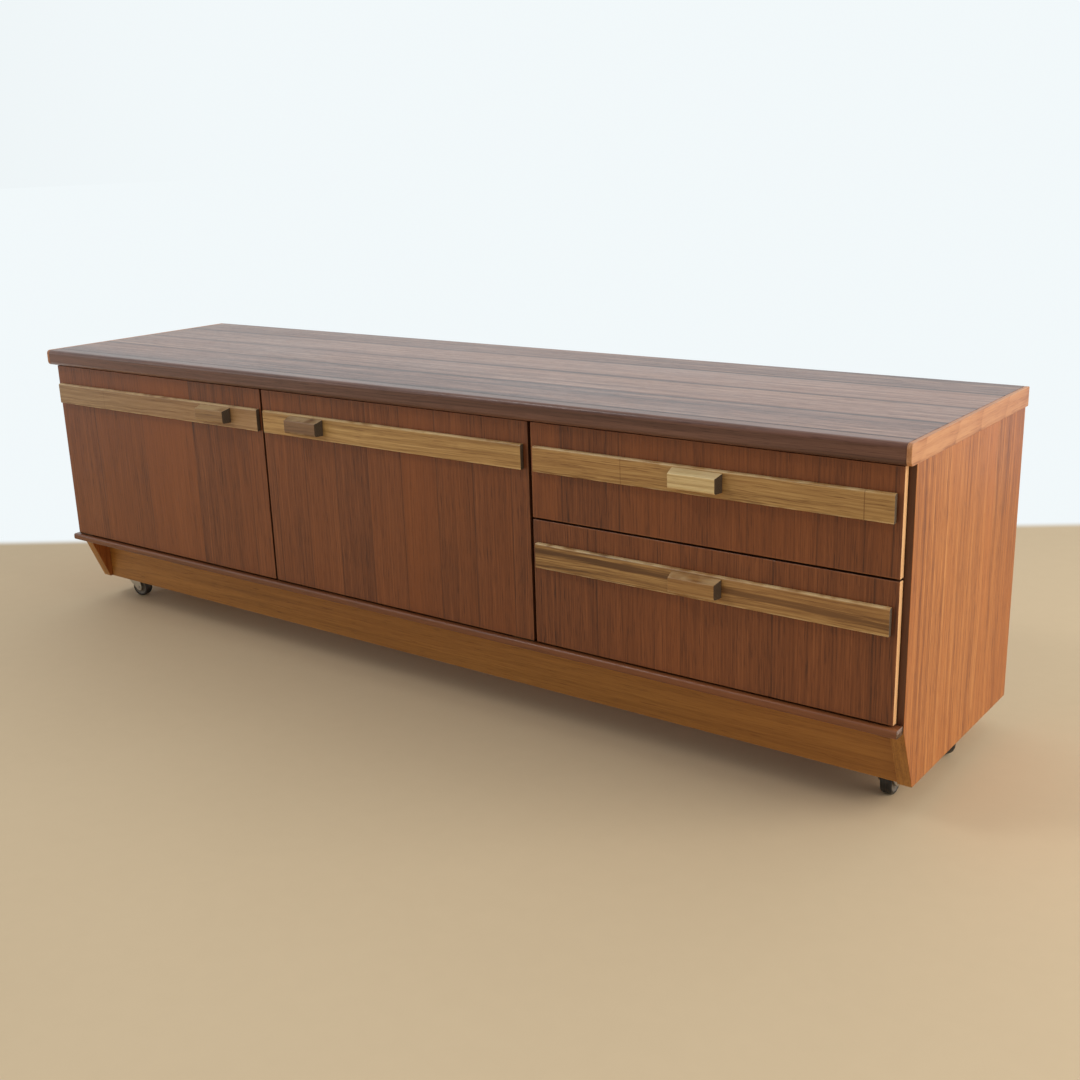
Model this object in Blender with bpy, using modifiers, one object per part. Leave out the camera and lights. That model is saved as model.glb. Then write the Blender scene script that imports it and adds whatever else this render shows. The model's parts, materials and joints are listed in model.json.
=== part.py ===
"""Low sideboard on castors: two hinged doors over one cupboard and two drawers at the right."""

import math

import bmesh
import bpy
from mathutils import Vector

# Overall size, metres. X runs along the length, the front faces -Y and the wheels stand on z = 0.
WIDTH = 1.520
HEIGHT = 0.452
TOP_DEPTH = 0.380

# Top
TOP_THICK = 0.0248
EDGING_OVER_CASE = 0.0005
NOSE_ROUND = 0.006
LIPPING_THICK = 0.006
SIDE_INSET = 0.0015
TOP_BACK_OVERHANG = 0.0055

# Case
FIT = 0.0003
SIDE_THICK = 0.018
PARTITION_THICK = 0.016
BOTTOM_THICK = 0.016
BACK_THICK = 0.004
SHELF_THICK = 0.014
SHELF_SETBACK = 0.030
CASE_CLEARANCE = 0.0385
PLINTH_HEIGHT = 0.0796
PLINTH_THICK = 0.012
PLINTH_SETBACK = 0.004
SLANT_RUN = 0.0341
SLANT_RISE = 0.082
MOULDING_HEIGHT = 0.0103
MOULDING_FRONT = 0.0034
MOULDING_ROUND = 0.003
MOULDING_END = 0.0030
EDGE_BEVEL = 0.0006

# Doors and drawer fronts
FRONT_THICK = 0.0095
FRONT_SETBACK = 0.0105
FRONT_TO_CASE = 0.0015
FRONT_TOP_GAP = 0.0020
FRONT_BOTTOM_GAP = 0.0020
FRONT_END_REVEAL = 0.0100
DOOR_SHARE = 0.3370
DOOR_GAP = 0.0037
DRAWER_REVEAL = 0.0046
DRAWER_ROW_GAP = 0.0025
UPPER_DRAWER_SHARE = 0.4260

# Strips and handles
STRIP_DROP = 0.0295
STRIP_HEIGHT = 0.033
STRIP_THICK = 0.007
STRIP_MARGIN = 0.007
LEFT_STRIP_FREE_MARGIN = 0.003
STRIP_BEVEL = 0.0025
HANDLE_LENGTH = 0.068
HANDLE_HEIGHT = 0.0232
HANDLE_OUT = 0.015
HANDLE_DROP = 0.0020
HANDLE_FROM_EDGE = 0.0605
MIDDLE_HANDLE_FROM_EDGE = 0.0655
HANDLE_TAPER = 0.0025
HANDLE_FALL = 0.0042
HANDLE_FOOT_BEVEL = 0.0034

# Pivot hinges
PIVOT_IN = 0.003
PIN_RADIUS = 0.0015
PIN_CLEARANCE = 0.0002
PIN_LENGTH = 0.0065
LEAF_LENGTH = 0.036
LEAF_WIDTH = 0.0065
LEAF_THICK = 0.0012
LEAF_INSET = 0.0010

# Catch
CATCH_LENGTH = 0.060
CATCH_HEIGHT = 0.012
CATCH_DEPTH = 0.014
PLATE_LENGTH = 0.022
PLATE_THICK = 0.0014

# Drawer boxes
BOX_SIDE_THICK = 0.012
BOX_END_THICK = 0.012
BOX_BOTTOM_THICK = 0.004
BOX_LIFT = 0.012
BOX_DROP = 0.022
BOX_LENGTH = 0.318
WALL_CLEARANCE = 0.0010
RUNNER_THICK = 0.0065
RUNNER_HEIGHT = 0.012
RUNNER_LENGTH = 0.2926
GROOVE_DEPTH = 0.0060
GROOVE_PLAY = 0.0005
BOTTOM_GROOVE_LIFT = 0.006
BOTTOM_GROOVE_DEPTH = 0.0055

# Castors
WHEEL_RADIUS = 0.0165
WHEEL_WIDTH = 0.015
AXLE_RADIUS = 0.0020
AXLE_CLEARANCE = 0.00025
TRAIL = 0.014
LEG_THICK = 0.0018
WHEEL_SIDE_GAP = 0.0008
FORK_TOP_GAP = 0.0020
FORK_SHEET = 0.0018
EYE_RADIUS = 0.0058
BEARING_GAP = 0.0004
PLATE_SIDE = 0.030
CASTOR_PLATE_THICK = 0.0025
STEM_RADIUS = 0.0030
STEM_CLEARANCE = 0.0003
STEM_LENGTH = 0.016
STEM_BORE_SPARE = 0.002
CASTOR_FROM_END = 0.046
CASTOR_FRONT_AT = 0.0895
CASTOR_REAR_AT = 0.245
BEARER_WIDTH = 0.046
ROUND_STEPS = 24
WHEEL_STEPS = 32

# Levels and planes that follow from the sizes above
handle_ahead = HANDLE_OUT + STRIP_THICK - FRONT_SETBACK
y_nose = (handle_ahead - TOP_DEPTH) / 2
y_top_back = y_nose + TOP_DEPTH
x_end = WIDTH / 2
z_under_top = HEIGHT - TOP_THICK
x_side_out = x_end - SIDE_INSET
x_side_in = x_side_out - SIDE_THICK
y_front = y_nose + FRONT_SETBACK
y_case = y_front + FRONT_THICK + FRONT_TO_CASE
y_edging_back = y_case + EDGING_OVER_CASE
y_side_back = y_top_back - TOP_BACK_OVERHANG
y_back_panel = y_side_back - 0.001 - BACK_THICK
z_plinth_top = CASE_CLEARANCE + PLINTH_HEIGHT
z_floor_of_case = z_plinth_top + MOULDING_HEIGHT
z_bottom_under = z_floor_of_case - BOTTOM_THICK
z_front_low = z_floor_of_case + FRONT_BOTTOM_GAP
z_front_high = z_under_top - FRONT_TOP_GAP
front_span = 2 * (x_end - FRONT_END_REVEAL)
door_width = front_span * DOOR_SHARE
x_left_a = -x_end + FRONT_END_REVEAL
x_left_b = x_left_a + door_width
x_mid_a = x_left_b + DOOR_GAP
x_mid_b = x_mid_a + door_width - DOOR_GAP * 3
x_draw_a = x_mid_b + DRAWER_REVEAL
x_draw_b = x_end - FRONT_END_REVEAL
x_part_mid = (x_mid_b + x_draw_a) / 2
x_part_a = x_part_mid - PARTITION_THICK / 2
x_part_b = x_part_mid + PARTITION_THICK / 2
y_pivot = y_front + PIVOT_IN
rows = z_front_high - z_front_low - DRAWER_ROW_GAP
z_row_split = z_front_high - rows * UPPER_DRAWER_SHARE
z_fork_top = 2 * WHEEL_RADIUS + FORK_TOP_GAP + FORK_SHEET
z_castor_plate = z_fork_top + BEARING_GAP
z_bearer = z_castor_plate + CASTOR_PLATE_THICK + FIT

parts = bpy.data.collections.new("sideboard_buffet")
helpers = bpy.data.collections.new("cutters")


def clear_scene():
    for obj in list(bpy.data.objects):
        bpy.data.objects.remove(obj)
    bpy.context.scene.collection.children.link(parts)
    bpy.context.scene.collection.children.link(helpers)


def material(name, colour, roughness, metallic):
    made = bpy.data.materials.new(name)
    made.use_nodes = True
    shader = made.node_tree.nodes["Principled BSDF"]
    shader.inputs["Base Color"].default_value = (*colour, 1.0)
    shader.inputs["Roughness"].default_value = roughness
    shader.inputs["Metallic"].default_value = metallic
    made.diffuse_color = (*colour, 1.0)
    return made


def finish(name, mesh, origin, looks, parent=None, bevel=0.0):
    """Puts the mesh, made in world positions, on an object whose own origin is the given point."""
    bm = bmesh.new()
    bm.from_mesh(mesh)
    bmesh.ops.translate(bm, verts=bm.verts, vec=-Vector(origin))
    bmesh.ops.recalc_face_normals(bm, faces=bm.faces)
    bm.to_mesh(mesh)
    bm.free()
    obj = bpy.data.objects.new(name, mesh)
    parts.objects.link(obj)
    mesh.name = name
    mesh.materials.append(material(name, *looks))
    obj.location = Vector(origin)
    if parent:
        obj.parent = parent
        obj.location = Vector(origin) - parent.location
    if bevel:
        soft = obj.modifiers.new("soft edges", "BEVEL")
        soft.width = bevel
        soft.segments = 1
        soft.limit_method = "ANGLE"
        soft.angle_limit = math.radians(35)
        soft.use_clamp_overlap = True
    return obj


def joint_point(name, at, turn=0.0):
    """An empty on a joint's axis. The pieces that move with the joint are its children."""
    empty = bpy.data.objects.new(name, None)
    empty.location = Vector(at)
    empty.rotation_euler = (0.0, 0.0, turn)
    parts.objects.link(empty)
    return empty


def box_mesh(x, y, z):
    """A box from three pairs of limits."""
    bm = bmesh.new()
    bmesh.ops.create_cube(bm, size=1.0)
    size = Vector((x[1] - x[0], y[1] - y[0], z[1] - z[0]))
    middle = Vector((x[1] + x[0], y[1] + y[0], z[1] + z[0])) / 2
    bmesh.ops.scale(bm, verts=bm.verts, vec=size)
    bmesh.ops.translate(bm, verts=bm.verts, vec=middle)
    mesh = bpy.data.meshes.new("box")
    bm.to_mesh(mesh)
    bm.free()
    return mesh


def board(name, x, y, z, looks, parent=None, origin=None, bevel=EDGE_BEVEL):
    middle = ((x[0] + x[1]) / 2, (y[0] + y[1]) / 2, (z[0] + z[1]) / 2)
    return finish(name, box_mesh(x, y, z), origin or middle, looks, parent, bevel)


def prism_mesh(outline, along, start, end):
    """A flat outline given a length. Along X the outline is (y, z), and along Y it is (x, z)."""
    curve = bpy.data.curves.new("outline", "CURVE")
    curve.dimensions = "2D"
    curve.fill_mode = "BOTH"
    curve.extrude = (end - start) / 2
    spline = curve.splines.new("POLY")
    spline.points.add(len(outline) - 1)
    for point, (u, v) in zip(spline.points, outline):
        point.co = (u, v, 0.0, 1.0)
    spline.use_cyclic_u = True
    holder = bpy.data.objects.new("outline", curve)
    parts.objects.link(holder)
    graph = bpy.context.evaluated_depsgraph_get()
    mesh = bpy.data.meshes.new_from_object(holder.evaluated_get(graph))
    bpy.data.objects.remove(holder)
    middle = (start + end) / 2
    bm = bmesh.new()
    bm.from_mesh(mesh)
    bmesh.ops.remove_doubles(bm, verts=bm.verts, dist=0.000001)
    bmesh.ops.dissolve_limit(bm, angle_limit=0.01, verts=bm.verts, edges=bm.edges)
    for vert in bm.verts:
        u, v, w = vert.co
        vert.co = (w + middle, u, v) if along == "X" else (u, middle - w, v)
    bm.to_mesh(mesh)
    bm.free()
    return mesh


def cylinder_mesh(radius, low, high, at=(0.0, 0.0), axis="Z", steps=ROUND_STEPS):
    """A round bar. Its centre line is at (x, y) for axis Z, and at (x, z) for axis Y."""
    bm = bmesh.new()
    bmesh.ops.create_cone(
        bm, cap_ends=True, segments=steps, radius1=radius, radius2=radius, depth=high - low
    )
    middle = (high + low) / 2
    for vert in bm.verts:
        x, y, z = vert.co
        if axis == "Z":
            vert.co = (x + at[0], y + at[1], z + middle)
        else:
            vert.co = (x + at[0], middle - z, y + at[1])
    mesh = bpy.data.meshes.new("bar")
    bm.to_mesh(mesh)
    bm.free()
    return mesh


def helper(mesh):
    """A hidden solid that a Boolean uses."""
    bm = bmesh.new()
    bm.from_mesh(mesh)
    bmesh.ops.recalc_face_normals(bm, faces=bm.faces)
    bm.to_mesh(mesh)
    bm.free()
    obj = bpy.data.objects.new("helper", mesh)
    obj.hide_render = True
    obj.display_type = "WIRE"
    helpers.objects.link(obj)
    return obj


def combine(target, mesh, operation):
    """A Boolean with a helper made in world positions, placed before the edge softening."""
    other = helper(mesh)
    step = target.modifiers.new(operation.lower(), "BOOLEAN")
    step.operation = operation
    step.solver = "EXACT"
    step.object = other
    if any(m.type == "BEVEL" for m in target.modifiers):
        names = [m.name for m in target.modifiers]
        first_bevel = [m.type for m in target.modifiers].index("BEVEL")
        target.modifiers.move(len(names) - 1, first_bevel)
    return other


def arc(centre, radius, first, last, steps):
    """Points on an arc, in degrees, both ends included."""
    found = []
    for i in range(steps + 1):
        angle = math.radians(first + (last - first) * i / steps)
        found.append((centre[0] + radius * math.cos(angle), centre[1] + radius * math.sin(angle)))
    return found


def nose_outline(y0, y1, z0, z1, radius, steps=5):
    """A rectangle in (y, z) with its two front corners rounded."""
    low = arc((y0 + radius, z0 + radius), radius, 270, 180, steps)
    high = arc((y0 + radius, z1 - radius), radius, 180, 90, steps)
    return [(y1, z0)] + low + high + [(y1, z1)]


TEAK = (0.330, 0.140, 0.055)
TEAK_LIGHT = (0.520, 0.250, 0.110)
TEAK_DARK = (0.150, 0.065, 0.035)
FRONT_TEAK = (0.250, 0.085, 0.040)
STRIP_TEAK = (0.380, 0.240, 0.110)
RAW_WOOD = (0.560, 0.420, 0.260)
HARDBOARD = (0.300, 0.190, 0.110)
wood = (0.45, 0.0)
raw = (0.75, 0.0)
steel = ((0.620, 0.610, 0.590), 0.32, 1.0)
black_plastic = ((0.030, 0.028, 0.026), 0.50, 0.0)


def build_top():
    inner = x_end - LIPPING_THICK - FIT
    board(
        "top_panel",
        (-inner, inner),
        (y_edging_back + FIT, y_top_back),
        (z_under_top, HEIGHT),
        (TEAK, *wood),
    )
    profile = nose_outline(y_nose, y_edging_back, z_under_top, HEIGHT, NOSE_ROUND)
    edging = finish(
        "top_front_edging",
        prism_mesh(profile, "X", -inner, inner),
        (0.0, (y_nose + y_edging_back) / 2, HEIGHT - TOP_THICK / 2),
        (TEAK_DARK, *wood),
    )
    for x in (x_left_a + PIVOT_IN, x_mid_b - PIVOT_IN):
        hole = cylinder_mesh(
            PIN_RADIUS + PIN_CLEARANCE, z_under_top - 0.004, z_under_top + PIN_LENGTH, (x, y_pivot), steps=16
        )
        combine(edging, hole, "DIFFERENCE")
    end_profile = nose_outline(y_nose, y_top_back, z_under_top, HEIGHT, NOSE_ROUND)
    for side, name in ((-1, "left"), (1, "right")):
        x = sorted((side * x_end, side * (x_end - LIPPING_THICK)))
        finish(
            f"top_end_lipping_{name}",
            prism_mesh(end_profile, "X", *x),
            (sum(x) / 2, (y_nose + y_top_back) / 2, HEIGHT - TOP_THICK / 2),
            (TEAK_LIGHT, *wood),
            bevel=EDGE_BEVEL,
        )


def build_case():
    z_top = z_under_top - FIT
    slant_top = (y_case, CASE_CLEARANCE + SLANT_RISE)
    slant_foot = (y_case + SLANT_RUN, CASE_CLEARANCE)
    outline = [
        slant_foot,
        slant_top,
        (y_case, z_top),
        (y_side_back, z_top),
        (y_side_back, CASE_CLEARANCE),
    ]
    for side, name in ((-1, "left"), (1, "right")):
        x = sorted((side * x_side_in, side * x_side_out))
        finish(
            f"side_panel_{name}",
            prism_mesh(outline, "X", *x),
            (sum(x) / 2, (y_case + y_side_back) / 2, (CASE_CLEARANCE + z_top) / 2),
            (TEAK_LIGHT, *wood),
            bevel=EDGE_BEVEL,
        )
    inside = x_side_in - FIT
    board(
        "bottom_panel",
        (-inside, inside),
        (y_case, y_back_panel - FIT),
        (z_bottom_under, z_floor_of_case),
        (TEAK, *wood),
    )
    board(
        "back_panel",
        (-inside, inside),
        (y_back_panel, y_back_panel + BACK_THICK),
        (z_bottom_under, z_top),
        (HARDBOARD, *raw),
        bevel=0.0,
    )
    board(
        "drawer_partition",
        (x_part_a, x_part_b),
        (y_case, y_back_panel - FIT),
        (z_floor_of_case + FIT, z_top),
        (TEAK, *wood),
    )
    z_shelf = (z_floor_of_case + z_under_top) / 2 - 0.010
    board(
        "cupboard_shelf",
        (-inside, x_part_a - FIT),
        (y_case + SHELF_SETBACK, y_back_panel - FIT),
        (z_shelf, z_shelf + SHELF_THICK),
        (TEAK, *wood),
    )


def build_base():
    inside = x_side_in - FIT
    z_top = z_bottom_under - FIT
    # The sides' feet slant back to the plinth, which stands upright between them
    y_foot = y_case + SLANT_RUN + PLINTH_SETBACK
    board(
        "front_plinth",
        (-inside, inside),
        (y_foot, y_foot + PLINTH_THICK),
        (CASE_CLEARANCE, z_top),
        (TEAK_LIGHT, *wood),
    )
    y_a = y_nose + MOULDING_FRONT
    y_b = y_case - FIT
    profile = nose_outline(y_a, y_b, z_plinth_top, z_floor_of_case, MOULDING_ROUND, 4)
    moulding = finish(
        "bottom_moulding",
        prism_mesh(profile, "X", -x_end + MOULDING_END, x_end - MOULDING_END),
        (0.0, (y_a + y_b) / 2, (z_plinth_top + z_floor_of_case) / 2),
        (TEAK_DARK, *wood),
    )
    for x in (x_left_a + PIVOT_IN, x_mid_b - PIVOT_IN):
        hole = cylinder_mesh(
            PIN_RADIUS + PIN_CLEARANCE,
            z_floor_of_case - PIN_LENGTH,
            z_floor_of_case + 0.004,
            (x, y_pivot),
            steps=16,
        )
        combine(moulding, hole, "DIFFERENCE")
    y_bearer = y_foot + PLINTH_THICK + 0.0005
    for side, name in ((-1, "left"), (1, "right")):
        x = sorted((side * inside, side * (inside - BEARER_WIDTH)))
        bearer = board(
            f"castor_bearer_{name}", x, (y_bearer, y_back_panel), (z_bearer, z_top), (RAW_WOOD, *raw)
        )
        for depth in (CASTOR_FRONT_AT, CASTOR_REAR_AT):
            bore = cylinder_mesh(
                STEM_RADIUS + STEM_CLEARANCE,
                z_bearer - 0.004,
                z_fork_top + STEM_LENGTH + STEM_BORE_SPARE,
                (side * (x_end - CASTOR_FROM_END), y_nose + depth),
            )
            combine(bearer, bore, "DIFFERENCE")


def fittings_on(front, x, z_high, handle_x, parent, margins):
    """The long strip on a front and the handle block on the strip."""
    y_strip = y_front - FIT
    y_face = y_front - STRIP_THICK
    z1 = z_high - STRIP_DROP
    z0 = z1 - STRIP_HEIGHT
    outline = [
        (y_strip, z0),
        (y_face + 0.0012, z0),
        (y_face, z0 + 0.0012),
        (y_face, z1 - STRIP_BEVEL),
        (y_face + STRIP_BEVEL, z1),
        (y_strip, z1),
    ]
    ends = (x[0] + margins[0], x[1] - margins[1])
    finish(
        f"{front}_strip",
        prism_mesh(outline, "X", *ends),
        (sum(ends) / 2, (y_strip + y_face) / 2, (z0 + z1) / 2),
        (STRIP_TEAK, *wood),
        parent,
        EDGE_BEVEL,
    )
    h1 = z1 - HANDLE_DROP
    h0 = h1 - HANDLE_HEIGHT
    y_seat = y_face - FIT
    y_tip = y_face - HANDLE_OUT
    outline = [
        (y_seat, h0),
        (y_tip + HANDLE_FOOT_BEVEL, h0 + 0.0006),
        (y_tip, h0 + HANDLE_FOOT_BEVEL),
        (y_tip, h1 - HANDLE_FALL),
        (y_seat, h1),
    ]
    ends = (handle_x - HANDLE_LENGTH / 2, handle_x + HANDLE_LENGTH / 2)
    block = prism_mesh(outline, "X", *ends)
    for v in block.vertices:
        # The grip narrows from the strip outwards
        out = (y_seat - v.co.y) / (y_seat - y_tip)
        v.co.x += out * HANDLE_TAPER * (1 if v.co.x < handle_x else -1)
    finish(
        f"{front}_handle",
        block,
        (handle_x, (y_seat + y_tip) / 2, (h0 + h1) / 2),
        (STRIP_TEAK, *wood),
        parent,
        EDGE_BEVEL,
    )


def build_door(name, x, hinge_side, handle_in, margins):
    """hinge_side is -1 for a door hung at its left edge and 1 at its right edge."""
    x_edge = x[0] if hinge_side < 0 else x[1]
    x_free = x[1] if hinge_side < 0 else x[0]
    x_pivot = x_edge - hinge_side * PIVOT_IN
    hinge = joint_point(f"{name}_hinge", (x_pivot, y_pivot, (z_front_low + z_front_high) / 2))
    y_inner = y_front + FRONT_THICK
    board(
        f"{name}_panel",
        x,
        (y_front, y_inner),
        (z_front_low, z_front_high),
        (FRONT_TEAK, *wood),
        hinge,
        tuple(hinge.location),
    )
    handle_x = x_free + hinge_side * (handle_in + HANDLE_LENGTH / 2)
    fittings_on(name, x, z_front_high, handle_x, hinge, margins)
    leaf_x = sorted((x_edge - hinge_side * LEAF_INSET, x_edge - hinge_side * (LEAF_INSET + LEAF_LENGTH)))
    leaf_y = (y_front + LEAF_INSET, y_front + LEAF_INSET + LEAF_WIDTH)
    for word, z_end, up in (("upper", z_front_high, 1), ("lower", z_front_low, -1)):
        leaf_z = sorted((z_end + up * FIT, z_end + up * (FIT + LEAF_THICK)))
        gap = FRONT_TOP_GAP if up > 0 else FRONT_BOTTOM_GAP
        pin_z = sorted((z_end + up * (FIT + LEAF_THICK / 2), z_end + up * (gap + PIN_LENGTH - 0.0008)))
        pivot = board(
            f"{name}_{word}_pivot",
            leaf_x,
            leaf_y,
            leaf_z,
            steel,
            hinge,
            (x_pivot, y_pivot, z_end),
            0.0,
        )
        pin = combine(
            pivot, cylinder_mesh(PIN_RADIUS, *pin_z, (x_pivot, y_pivot), steps=16), "UNION"
        )
        pin.name = f"{name}_{word}_pin_helper"
    plate_x = sorted((x_free + hinge_side * 0.006, x_free + hinge_side * (0.006 + PLATE_LENGTH)))
    board(
        f"{name}_catch_plate",
        plate_x,
        (y_inner + FIT, y_inner + FIT + PLATE_THICK),
        (z_front_high - CATCH_HEIGHT - 0.001, z_front_high - 0.001),
        steel,
        hinge,
        bevel=0.0,
    )


def drawer_side_outline(x_out, inward, z0, z1, z_groove):
    """One drawer side across its length: a runner groove outside and a bottom groove inside."""
    x_in = x_out + inward * BOX_SIDE_THICK
    g0 = z_groove - RUNNER_HEIGHT / 2 - GROOVE_PLAY
    g1 = z_groove + RUNNER_HEIGHT / 2 + FIT
    b0 = z0 + BOTTOM_GROOVE_LIFT
    b1 = b0 + BOX_BOTTOM_THICK + 2 * FIT
    return [
        (x_out, z0),
        (x_out, g0),
        (x_out + inward * GROOVE_DEPTH, g0),
        (x_out + inward * GROOVE_DEPTH, g1),
        (x_out, g1),
        (x_out, z1),
        (x_in, z1),
        (x_in, b1),
        (x_in - inward * BOTTOM_GROOVE_DEPTH, b1),
        (x_in - inward * BOTTOM_GROOVE_DEPTH, b0),
        (x_in, b0),
        (x_in, z0),
    ]


def build_drawer(name, z_low, z_high):
    x = (x_draw_a, x_draw_b)
    slide = joint_point(f"{name}_slide", (sum(x) / 2, y_front, (z_low + z_high) / 2))
    board(f"{name}_front", x, (y_front, y_front + FRONT_THICK), (z_low, z_high), (FRONT_TEAK, *wood), slide)
    fittings_on(name, x, z_high, sum(x) / 2, slide, (STRIP_MARGIN, STRIP_MARGIN))

    x0 = x_part_b + WALL_CLEARANCE
    x1 = x_side_in - WALL_CLEARANCE
    z0 = z_low + BOX_LIFT
    z1 = z_high - BOX_DROP
    z_groove = z0 + (z1 - z0) * 0.55
    y0 = y_front + FRONT_THICK + FIT
    y1 = y0 + BOX_END_THICK + FIT
    y2 = y1 + BOX_LENGTH
    board(f"{name}_box_front", (x0, x1), (y0, y0 + BOX_END_THICK), (z0, z1), (RAW_WOOD, *raw), slide)
    for word, x_out, inward in (("left", x0, 1), ("right", x1, -1)):
        outline = drawer_side_outline(x_out, inward, z0, z1, z_groove)
        finish(
            f"{name}_side_{word}",
            prism_mesh(outline, "Y", y1, y2),
            (x_out + inward * BOX_SIDE_THICK / 2, (y1 + y2) / 2, (z0 + z1) / 2),
            (RAW_WOOD, *raw),
            slide,
        )
    x_a = x0 + BOX_SIDE_THICK + FIT
    x_b = x1 - BOX_SIDE_THICK - FIT
    z_b = z0 + BOTTOM_GROOVE_LIFT + FIT
    board(
        f"{name}_back",
        (x_a, x_b),
        (y2 - BOX_END_THICK, y2),
        (z_b + BOX_BOTTOM_THICK + FIT, z1 - 0.008),
        (RAW_WOOD, *raw),
        slide,
    )
    reach = BOTTOM_GROOVE_DEPTH - 2 * FIT
    board(
        f"{name}_bottom",
        (x_a - reach, x_b + reach),
        (y1, y2),
        (z_b, z_b + BOX_BOTTOM_THICK),
        (HARDBOARD, *raw),
        slide,
        bevel=0.0,
    )
    z_run = (z_groove - RUNNER_HEIGHT / 2, z_groove + RUNNER_HEIGHT / 2)
    y_run = (y1 + FIT, y1 + FIT + RUNNER_LENGTH)
    for word, wall, inward in (("left", x_part_b, 1), ("right", x_side_in, -1)):
        run_x = sorted((wall + inward * FIT, wall + inward * (FIT + RUNNER_THICK)))
        board(f"{name}_runner_{word}", run_x, y_run, z_run, (RAW_WOOD, *raw))


def build_catch():
    x = (x_left_b + x_mid_a) / 2
    y = y_front + FRONT_THICK + 2 * FIT + PLATE_THICK
    board(
        "door_catch",
        (x - CATCH_LENGTH / 2, x + CATCH_LENGTH / 2),
        (y, y + CATCH_DEPTH),
        (z_under_top - FIT - CATCH_HEIGHT, z_under_top - FIT),
        ((0.42, 0.30, 0.20), 0.5, 0.0),
    )


def wheel_mesh():
    """A turned tread with a raised hub, spun about Z."""
    half = WHEEL_WIDTH / 2
    bore = AXLE_RADIUS + AXLE_CLEARANCE
    r = WHEEL_RADIUS
    profile = [
        (bore, half),
        (r * 0.40, half),
        (r * 0.48, half - 0.0014),
        (r * 0.80, half - 0.0014),
        (r * 0.86, half - 0.0002),
        (r - 0.0014, half - 0.0006),
        (r - 0.0003, half - 0.0022),
        (r, half - 0.0045),
        (r, 0.0045 - half),
        (r - 0.0003, 0.0022 - half),
        (r - 0.0014, 0.0006 - half),
        (r * 0.86, 0.0002 - half),
        (r * 0.80, 0.0014 - half),
        (r * 0.48, 0.0014 - half),
        (r * 0.40, -half),
        (bore, -half),
    ]
    bm = bmesh.new()
    verts = [bm.verts.new((x, 0.0, z)) for x, z in profile]
    for first, second in zip(verts, verts[1:] + verts[:1]):
        bm.edges.new((first, second))
    mesh = bpy.data.meshes.new("wheel_profile")
    bm.to_mesh(mesh)
    bm.free()
    return mesh


def fork_outline():
    """The fork seen from the side, in (x, z): a wide head that narrows to the axle's eye."""
    eye = (TRAIL, WHEEL_RADIUS)
    top = z_fork_top + 0.001
    shoulder = z_fork_top - FORK_SHEET - 0.0010
    return [(-0.0125, top), (-0.0125, shoulder), *arc(eye, EYE_RADIUS, 225, 380, 8), (0.0170, shoulder), (0.0170, top)]


def build_castor(place, x, y, turn):
    steer = joint_point(f"castor_{place}_swivel", (x, y, 0.0), turn)
    half = WHEEL_WIDTH / 2 + WHEEL_SIDE_GAP
    outer = half + LEG_THICK
    z_in = z_fork_top - FORK_SHEET
    channel = [
        (-outer, 0.002),
        (-outer, z_fork_top),
        (outer, z_fork_top),
        (outer, 0.002),
        (half, 0.002),
        (half, z_in),
        (-half, z_in),
        (-half, 0.002),
    ]
    fork = finish(
        f"castor_{place}_fork", prism_mesh(channel, "X", -0.014, 0.024), (0, 0, 0), steel
    )
    fork.parent = steer
    made = [combine(fork, prism_mesh(fork_outline(), "Y", -0.014, 0.014), "INTERSECT")]
    stem_top = z_fork_top + STEM_LENGTH
    made.append(combine(fork, cylinder_mesh(0.0118, z_in + 0.0002, z_fork_top + 0.0001), "UNION"))
    made.append(combine(fork, cylinder_mesh(STEM_RADIUS, z_in + 0.0004, stem_top), "UNION"))
    axle_half = outer + 0.0012
    axle = cylinder_mesh(AXLE_RADIUS, -axle_half, axle_half, (TRAIL, WHEEL_RADIUS), "Y", 16)
    made.append(combine(fork, axle, "UNION"))
    for other in made:
        other.parent = steer

    wheel = bpy.data.objects.new(f"castor_{place}_wheel", wheel_mesh())
    parts.objects.link(wheel)
    wheel.data.materials.append(material(wheel.name, *black_plastic))
    wheel.parent = steer
    wheel.location = (TRAIL, 0.0, WHEEL_RADIUS)
    wheel.rotation_euler = (math.radians(90), 0.0, 0.0)
    spin = wheel.modifiers.new("turned", "SCREW")
    spin.steps = WHEEL_STEPS
    spin.render_steps = WHEEL_STEPS
    spin.use_merge_vertices = True
    spin.merge_threshold = 0.00001
    spin.use_smooth_shade = True

    s = PLATE_SIDE / 2
    plate = board(
        f"castor_{place}_plate",
        (x - s, x + s),
        (y - s, y + s),
        (z_castor_plate, z_castor_plate + CASTOR_PLATE_THICK),
        steel,
    )
    hole = cylinder_mesh(
        STEM_RADIUS + STEM_CLEARANCE, z_castor_plate - 0.002, z_bearer + 0.002, (x, y)
    )
    combine(plate, hole, "DIFFERENCE")


def build():
    clear_scene()
    build_top()
    build_case()
    build_base()
    build_catch()
    build_door("left_door", (x_left_a, x_left_b), -1, HANDLE_FROM_EDGE, (STRIP_MARGIN, LEFT_STRIP_FREE_MARGIN))
    build_door(
        "middle_door", (x_mid_a, x_mid_b), 1, MIDDLE_HANDLE_FROM_EDGE, (STRIP_MARGIN, STRIP_MARGIN)
    )
    build_drawer("upper_drawer", z_row_split, z_front_high)
    build_drawer("lower_drawer", z_front_low, z_row_split - DRAWER_ROW_GAP)
    x = x_end - CASTOR_FROM_END
    y_f = y_nose + CASTOR_FRONT_AT
    y_r = y_nose + CASTOR_REAR_AT
    build_castor("front_left", -x, y_f, math.radians(10))
    build_castor("front_right", x, y_f, math.radians(92))
    build_castor("rear_left", -x, y_r, math.radians(140))
    build_castor("rear_right", x, y_r, math.radians(-25))


build()
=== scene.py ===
import json
import math

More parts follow.
